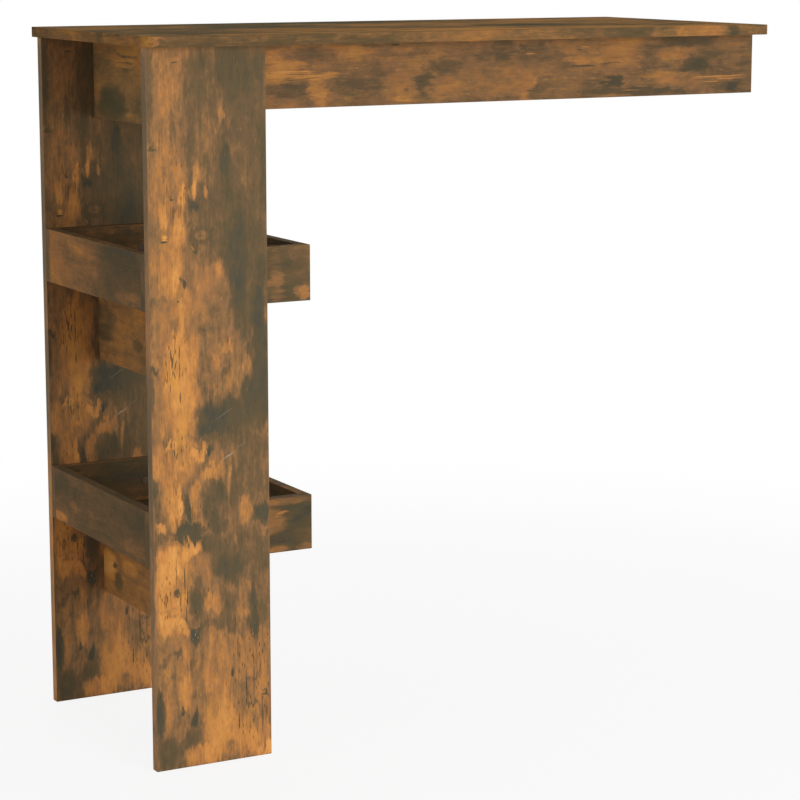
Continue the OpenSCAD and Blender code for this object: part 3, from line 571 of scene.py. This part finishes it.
def foil_material(name, node, lay, sheet, base=0.50, inner=None, band=0.62, clouds=0.8, grain=1.0,
                  smoke=(), details=(), cracks=(), scratches=(), lift=0.0, torn=1.0, tone="FFFFFF",
                  band_tone=None, grey_band=0.3, gloss=0.02):
    """The material of one board: its print, cut from the sheet at a place of its own, its bands and
    its core.

    The base value is the darkness of the shown face, the other face's value that of the other face, and
    the band value that of the bands. Inside the trays the print is darker, which is painted shade. The
    lift is taken from all of them and from what is painted. The smoke has ragged outlines, as torn says,
    and the details and scratches have firm ones. The cracks are strokes that say how much the print's
    own cracks show. The tone and the band tone are colours that the print is multiplied by, and on the
    aprons the tone is painted shade under the tabletop. The grey band value is how far the bands are
    greyed, and the gloss is the sheen."""
    low, high = (np.array(corner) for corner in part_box(node))
    axes = board_axes(lay)
    origin = np.where(sum(axes) > 0, low, high)
    sizes = [abs(float(axis @ (high - low))) for axis in axes]

    material, w, shader = new_material(name)
    position = w.add("TexCoord", {}).outputs["Object"]
    board = w.add("Group", {}, node_tree=BUILD_UP)
    w.link(position, board.inputs["Position"])
    for label, value in zip(("Origin", "Across", "Along", "Through", "Size"), (origin, *axes, sizes)):
        board.inputs[label].default_value = [float(v) for v in value]
    labels = ("Place", "Shown face", "Band", "Core")
    place, on_shown, on_band, in_core = (board.outputs[label] for label in labels)
    cut = w.vector("ADD", place, (*sheet, 0.0))

    # Painted outlines are ragged: a blotchy noise and one drawn out to fibres shake their place
    blotchy = w.swing_vector(cut, "blotchy_edge")
    fibrous = w.swing_vector(cut, "fibrous_edge")
    ragged = w.shake(place, blotchy, BLOTCHY_EDGE, torn)
    ragged = w.shake(ragged, fibrous, FIBROUS_EDGE, torn)
    firm = w.shake(place, blotchy, FIRM_EDGE)

    def painted_over(ground, at, suffix, strokes):
        painted = w.add("Group", {"Base": ground}, node_tree=make_painting(name + suffix, strokes))
        w.link(at, painted.inputs["Place"])
        return painted.outputs["Value"]

    shown = w.math("MULTIPLY", on_shown, w.math("SUBTRACT", 1.0, on_band))
    ground = w.mix(on_shown, base if inner is None else inner, base)
    painted = painted_over(w.mix(on_band, ground, band), ragged, "_smoke", smoke)
    if details:
        painted = painted_over(painted, firm, "_details", details)
    crazed = painted_over(CRACKLE, ragged, "_cracks", cracks)

    hidden_clouds = w.mix(on_band, OTHER_CLOUDS if inner is None else INNER_CLOUDS, BAND_CLOUDS)
    cloudy = w.mix(shown, hidden_clouds, clouds)
    grainy = w.mix(shown, 1.0, grain)
    printed = w.add("Group", {"Clouds": cloudy, "Grain": grainy}, node_tree=OAK_PRINT)
    w.link(cut, printed.inputs["Place"])
    w.link(w.math("SUBTRACT", painted, lift), printed.inputs["Painted"])
    w.link(crazed, printed.inputs["Cracks"])

    # The tone multiplies the print; on the aprons it is painted shade
    tone_and_shade = w.mix_colour(on_band, linear(tone), linear(band_tone or tone))
    colour = w.mix_colour(1.0, printed.outputs["Colour"], tone_and_shade, "MULTIPLY")
    if scratches:
        scored = painted_over(0.0, firm, "_scratches", scratches)
        colour = w.mix_colour(scored, colour, linear(SCRATCH_TONE))
    colour = w.mix_colour(w.math("MULTIPLY", on_band, grey_band), colour, linear(BAND_TONE))
    rubbed = w.math("MULTIPLY", board.outputs["Arris"], w.step(w.noise(cut, "rubbed"), "rubbed"))
    colour = w.mix_colour(w.math("MULTIPLY", rubbed, RUBBED_STRENGTH), colour, linear(RUBBED_TONE))
    glued = w.math("MULTIPLY", board.outputs["Glue"], GLUE_STRENGTH)
    colour = w.mix_colour(glued, colour, linear(CRACK_TONE))
    chips = w.add("TexVoronoi", {"Vector": position, "Scale": CHIPS})
    chip = w.add("SeparateColor", {0: chips.outputs["Color"]}).outputs[0]
    chip_edge = w.step(chips.outputs["Distance"], "chip_edge")
    core = w.mix_colour(chip_edge, w.ramp(chip, CHIPBOARD_TONES), linear(CHIP_EDGE_TONE))
    w.link(w.mix_colour(in_core, colour, core), shader.inputs["Base Color"])
    w.link(w.mix(in_core, printed.outputs["Roughness"], CORE_ROUGHNESS), shader.inputs["Roughness"])
    shader.inputs["Specular IOR Level"].default_value = gloss
    height = w.mix(in_core, printed.outputs["Height"], chips.outputs["Distance"])
    bump = w.add("Bump", {"Height": height, "Strength": BOARD_BUMP, "Distance": BOARD_RELIEF * MM})
    w.link(bump.outputs[0], shader.inputs["Normal"])
    return material


# Points this near are welded, in metres, and edges sharper than this are rounded, in degrees
WELD_REACH = 0.00001
SHARP_EDGE = 50


def soften_arrises(board):
    """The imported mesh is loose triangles, so it is welded first. Then its sharp edges get a small
    round. Its loop slide is off, as that folds faces over between drilled holes."""
    weld = board.modifiers.new("weld", "WELD")
    weld.merge_threshold = WELD_REACH
    bevel = board.modifiers.new("arrises", "BEVEL")
    bevel.width = ARRIS * MM
    bevel.segments = 2
    bevel.limit_method = "ANGLE"
    bevel.angle_limit = math.radians(SHARP_EDGE)
    bevel.harden_normals = True
    bevel.use_clamp_overlap = False
    bevel.loop_slide = False


# Boards: how each lies, where the sheet is cut for it, in metres, and its finish
PANELS = dict(lay="+x -z +y", sheet=(0.0, 0.0), base=0.56, band=0.56, clouds=0.12, details=PANEL_DETAILS,
              cracks=PANEL_CRACKS, scratches=PANEL_SCRATCHES)
# The aprons' tone darkens their print: painted shade under the tabletop
APRONS = dict(grain=0.7, torn=1.4, tone="D7DAE0")
RAILS = dict(lay="-z -y +x", base=0.58, grain=0.5, torn=0.6, tone="EDEDE4")
CROSS_RAILS = dict(clouds=0.3, **RAILS)
# Inside the trays the print is darker, as painted shade: on the walls' other faces, and on the floors
TRAYS = dict(inner=0.66, band=0.66, grain=0.5, torn=0.6, grey_band=0.05, tone="EFEAE3")
TRAY_BACKS = dict(lay="-z +x -y", base=0.60, **TRAYS)
TRAY_LEFT_ENDS = dict(lay="-z -y +x", clouds=0.2, lift=0.04, **TRAYS)
TRAY_RIGHT_ENDS = dict(lay="-z -y -x", base=0.60, **TRAYS)
# The floors' shown face is inside the tray, and its darker base is painted shade
TRAY_FLOORS = dict(lay="+x +y -z", base=0.70, **TRAYS)
BOARDS = {
    "tabletop": dict(lay="+y +x -z", sheet=(0.9, 2.1), base=0.56, band=0.60, clouds=0.40, grain=0.9,
                     smoke=TOP_SMOKE, lift=0.04, torn=0.8, tone="EEF9F6", band_tone="DCDBD1",
                     grey_band=0.05, gloss=0.001),
    "front_panel": dict(smoke=PANEL_SMOKE + FRONT_PANEL_BAND, **PANELS),
    # Its lift darkens the back panel's print: painted shade on its inner face, which is the one shown
    "back_panel": dict(smoke=PANEL_SMOKE + BACK_PANEL_BAND, lift=-0.05, **PANELS),
    "front_apron": dict(lay="-z +x +y", sheet=(1.7, 0.4), base=0.60, clouds=0.2, smoke=APRON_SMOKE,
                        details=APRON_DETAILS, lift=0.06, **APRONS),
    "back_apron": dict(lay="-z +x -y", sheet=(2.6, 1.3), **APRONS),
    "wall_rail": dict(sheet=(1.2, 3.4), **RAILS),
    "top_cross_rail": dict(sheet=(0.5, 1.6), smoke=TOP_RAIL_SMOKE, lift=0.06,
                           **{**CROSS_RAILS, "tone": "EDF5F0"}),
    "middle_cross_rail": dict(sheet=(0.5, 4.3), smoke=MIDDLE_RAIL_SMOKE, lift=0.06, **CROSS_RAILS),
    "lower_cross_rail": dict(sheet=(0.5, 5.7), smoke=LOWER_RAIL_SMOKE, lift=0.15, **CROSS_RAILS),
    "upper_tray_front": dict(lay="-z +x +y", sheet=(1.9, 1.1), base=0.66, clouds=0.3,
                             smoke=UPPER_FRONT_SMOKE, **{**TRAYS, "tone": "EFF0EF"}),
    "upper_tray_back": dict(sheet=(1.9, 2.2), **TRAY_BACKS),
    "upper_tray_left_end": dict(sheet=(1.9, 3.3), base=0.62, smoke=UPPER_END_SMOKE, **TRAY_LEFT_ENDS),
    # Painted shade: the inner face of the right end is darker still, at the far inside of the tray
    "upper_tray_right_end": dict(sheet=(1.9, 4.4), **{**TRAY_RIGHT_ENDS, "inner": 0.84}),
    "upper_tray_floor": dict(sheet=(1.9, 5.5), **TRAY_FLOORS),
    "lower_tray_front": dict(lay="-z +x +y", sheet=(2.3, 1.1), base=0.70, clouds=0.3,
                             smoke=LOWER_FRONT_SMOKE, **TRAYS),
    "lower_tray_back": dict(sheet=(2.3, 2.2), **TRAY_BACKS),
    "lower_tray_left_end": dict(sheet=(2.3, 3.3), base=0.68, smoke=LOWER_END_SMOKE,
                                **{**TRAY_LEFT_ENDS, "band": 0.84}),
    # Painted shade: the inner face of the right end is darker still, at the far inside of the tray
    "lower_tray_right_end": dict(sheet=(2.3, 4.4), **{**TRAY_RIGHT_ENDS, "inner": 0.74}),
    "lower_tray_floor": dict(sheet=(2.3, 5.5), **TRAY_FLOORS),
}
for name, finish in BOARDS.items():
    dress(NODES[name], foil_material(name + "_foil", name, **finish))
    soften_arrises(NODES[name])

# Fittings: for each slot its tones, how many grains lie on a metre, its roughness, its relief in
# millimetres and how metallic it is
FITTINGS = {
    "zinc": dict(tones=[(0.30, "7E7F7A"), (0.50, "A9A9A3"), (0.70, "C8C7BE")],
                 grains=1300.0, rough=0.42, relief=0.05, metal=1.0),
    "beech": dict(tones=[(0.30, "B88A5E"), (0.50, "D2A97B"), (0.70, "E0BE94")],
                  grains=700.0, rough=0.66, relief=0.08, metal=0.0),
    "brown_plastic": dict(tones=[(0.30, "4C3723"), (0.50, "5E452C"), (0.70, "6B5036")],
                          grains=2400.0, rough=0.55, relief=0.03, metal=0.0),
}
# How many grains one coarse grain spans, the shares of both noises, and how many pores a grain has
COARSE_GRAIN = 9
COARSE_SHARE = 0.6
FINE_SHARE = 0.4
PORES_PER_GRAIN = 0.7
# How much smoother and rougher than stated a fitting is where the blend is low and high
BLEND_ENDS = (0.3, 0.7)
SMOOTHER = 0.10
ROUGHER = 0.12
FITTING_BUMP = 0.5


def fitting_material(name, tones, grains, rough, relief, metal):
    """A fine noise and a coarse one choose the tone and the roughness, and the fine one is also the
    relief. Small dark pores lie between."""
    material, w, shader = new_material(name)
    position = w.add("TexCoord", {}).outputs["Object"]
    fine = w.add("TexNoise", {"Vector": position, "Scale": grains, "Detail": 3.0}).outputs[0]
    coarse = w.add("TexNoise", {"Vector": position, "Scale": grains / COARSE_GRAIN, "Detail": 4.0})
    fine_part = w.math("MULTIPLY", fine, FINE_SHARE)
    blend = w.math("MULTIPLY_ADD", coarse.outputs[0], COARSE_SHARE, fine_part)
    pores = w.add("TexVoronoi", {"Vector": position, "Scale": grains * PORES_PER_GRAIN})
    pore = w.step(pores.outputs["Distance"], "pore")
    colour = w.mix_colour(pore, w.ramp(blend, tones), linear(tones[0][1]))
    w.link(colour, shader.inputs["Base Color"])
    roughness = w.remap(blend, *BLEND_ENDS, rough - SMOOTHER, rough + ROUGHER)
    w.link(roughness, shader.inputs["Roughness"])
    shader.inputs["Metallic"].default_value = metal
    bump = w.add("Bump", {"Height": fine, "Strength": FITTING_BUMP, "Distance": relief * MM})
    w.link(bump.outputs[0], shader.inputs["Normal"])
    return material


FITTING_MATERIALS = {slot: fitting_material(slot, **finish) for slot, finish in FITTINGS.items()}
for part in frame["record"]["subparts"]:
    if part["material_slot"] in FITTING_MATERIALS:
        dress(NODES[part["node"]], FITTING_MATERIALS[part["material_slot"]])

# Stage: a pale floor, soft lamps and a white background. Lengths are metres, and powers are watts
FLOOR_REACH = 6.0
FLOOR_SIDES = 96
FLOOR_COLOUR = (0.80, 0.80, 0.80, 1.0)
FLOOR_ROUGHNESS = 0.9
FLOOR_SHEEN = 0.1
WHITE = (1.0, 1.0, 1.0, 1.0)
WORLD_STRENGTH = 0.42
LAMP_DISTANCE = 4.0
LAMP_TARGET = (0.0, 0.0, 0.5)
# Lamps: azimuth, where 0 is in front of the table and 90 at the wall, elevation, size, power, and
# whether its sheen shows on the boards
LAMPS = {
    "front_lamp": (12, 9, 2.2, 83, True),
    "wall_side_lamp": (88, 18, 2.4, 38, True),
    "left_lamp": (-90, 14, 2.2, 15.5, True),
    "back_lamp": (172, 12, 2.4, 42, False),
}
# Camera: lens and sensor in millimetres, how far it sees, where it is, its pitch below the level and
# its heading, both in radians
CAMERA_LENS = 116.08
CAMERA_SENSOR = 36.0
CAMERA_REACH = 60.0
CAMERA_PLACE = (-1.8935, -3.4455, 1.1670)
CAMERA_PITCH = 0.1777
CAMERA_HEADING = -0.5010


def make_floor():
    """A flat round floor, which is one face. Away from the object it is seen as white."""
    turns = np.linspace(0, 2 * math.pi, FLOOR_SIDES, endpoint=False)
    ring = np.stack([np.cos(turns), np.sin(turns), np.zeros_like(turns)], 1) * FLOOR_REACH
    mesh = bpy.data.meshes.new("floor")
    mesh.from_pydata(ring.tolist(), [], [list(range(len(ring)))])
    floor = bpy.data.objects.new("floor", mesh)
    bpy.context.scene.collection.objects.link(floor)
    material, w, shader = new_material("pale_floor")
    shader.inputs["Base Color"].default_value = FLOOR_COLOUR
    shader.inputs["Roughness"].default_value = FLOOR_ROUGHNESS
    shader.inputs["Specular IOR Level"].default_value = FLOOR_SHEEN
    seen = w.seen()
    distance = w.vector("LENGTH", w.add("TexCoord", {}).outputs["Object"])
    white = w.math("MULTIPLY", seen, w.step(distance, "floor_white"))
    glow = w.add("Emission", {"Color": WHITE, "Strength": 1.0}).outputs[0]
    blend = w.add("MixShader", {0: white, 1: shader.outputs[0], 2: glow})
    w.link(blend.outputs[0], material.node_tree.nodes["Material Output"].inputs["Surface"])
    mesh.materials.append(material)


def make_world(strength):
    """White to the camera and in reflections, and a plain soft light otherwise."""
    world = bpy.data.worlds.new("studio")
    bpy.context.scene.world = world
    world.use_nodes = True
    w = Wiring(world.node_tree)
    background = world.node_tree.nodes["Background"]
    background.inputs["Color"].default_value = WHITE
    w.link(w.mix(w.seen(), strength, 1.0), background.inputs["Strength"])


def soft_lamp(name, azimuth, elevation, size, power, mirrored):
    """A square area lamp that faces the middle of the table."""
    data = bpy.data.lights.new(name, "AREA")
    data.size = size
    data.energy = power
    lamp = bpy.data.objects.new(name, data)
    bpy.context.scene.collection.objects.link(lamp)
    a, e = math.radians(azimuth), math.radians(elevation)
    away = np.array([math.sin(a) * math.cos(e), -math.cos(a) * math.cos(e), math.sin(e)])
    lamp.location = away * LAMP_DISTANCE + np.array(LAMP_TARGET)
    lamp.rotation_euler = (math.radians(90) - e, 0.0, a)
    lamp.visible_glossy = mirrored


make_floor()
make_world(WORLD_STRENGTH)
for name, settings in LAMPS.items():
    soft_lamp(name, *settings)

camera_data = bpy.data.cameras.new("camera")
camera_data.lens = CAMERA_LENS
camera_data.sensor_width = CAMERA_SENSOR
camera_data.clip_end = CAMERA_REACH
camera = bpy.data.objects.new("camera", camera_data)
camera.location = CAMERA_PLACE
camera.rotation_euler = (math.pi / 2 - CAMERA_PITCH, 0.0, CAMERA_HEADING)
bpy.context.scene.collection.objects.link(camera)
bpy.context.scene.camera = camera
bpy.context.scene.view_settings.view_transform = "Standard"
